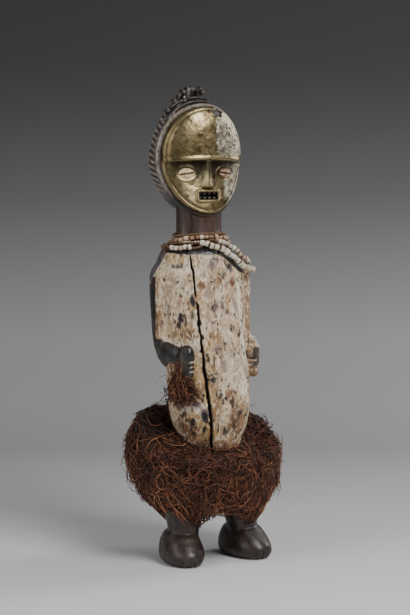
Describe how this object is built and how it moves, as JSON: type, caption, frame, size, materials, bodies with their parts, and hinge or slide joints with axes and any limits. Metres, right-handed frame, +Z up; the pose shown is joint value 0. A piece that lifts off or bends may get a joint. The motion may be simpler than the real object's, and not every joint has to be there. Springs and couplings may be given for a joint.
{
  "type": "ancestor figure",
  "caption": "Standing carved wooden ancestor figure with a crested head, sheet-brass face, cowrie eyes, bead necklaces and a raffia skirt.",
  "frame": {"origin": "on the floor, under the middle of the figure's box", "axes": "+Z up, the figure faces -Y, its own left hand is towards +X"},
  "size_m": [0.22, 0.176, 0.65],
  "materials": {
    "carved_wood": "kaolin over dark wood",
    "sheet_brass": "old dull patina",
    "cowrie_shell": "polished shell",
    "worn_cowrie_shell": "stained shell",
    "cord_fibre": "twisted fibre",
    "rose_beads": "worn glass paste",
    "white_beads": "worn glass paste",
    "raffia": "dry fibre"
  },
  "bodies": {
    "root": {"figure": "carved_wood", "face_plate": "sheet_brass", "cowrie_right": "cowrie_shell", "cowrie_left": "worn_cowrie_shell", "neck_cord": "cord_fibre", "bead_strand_rose": "rose_beads", "bead_strand_small": "white_beads", "bead_strand_white": "white_beads", "bead_strand_low": "white_beads", "wrist_raffia": "raffia", "raffia_skirt": "raffia"}
  },
  "joints": []
}
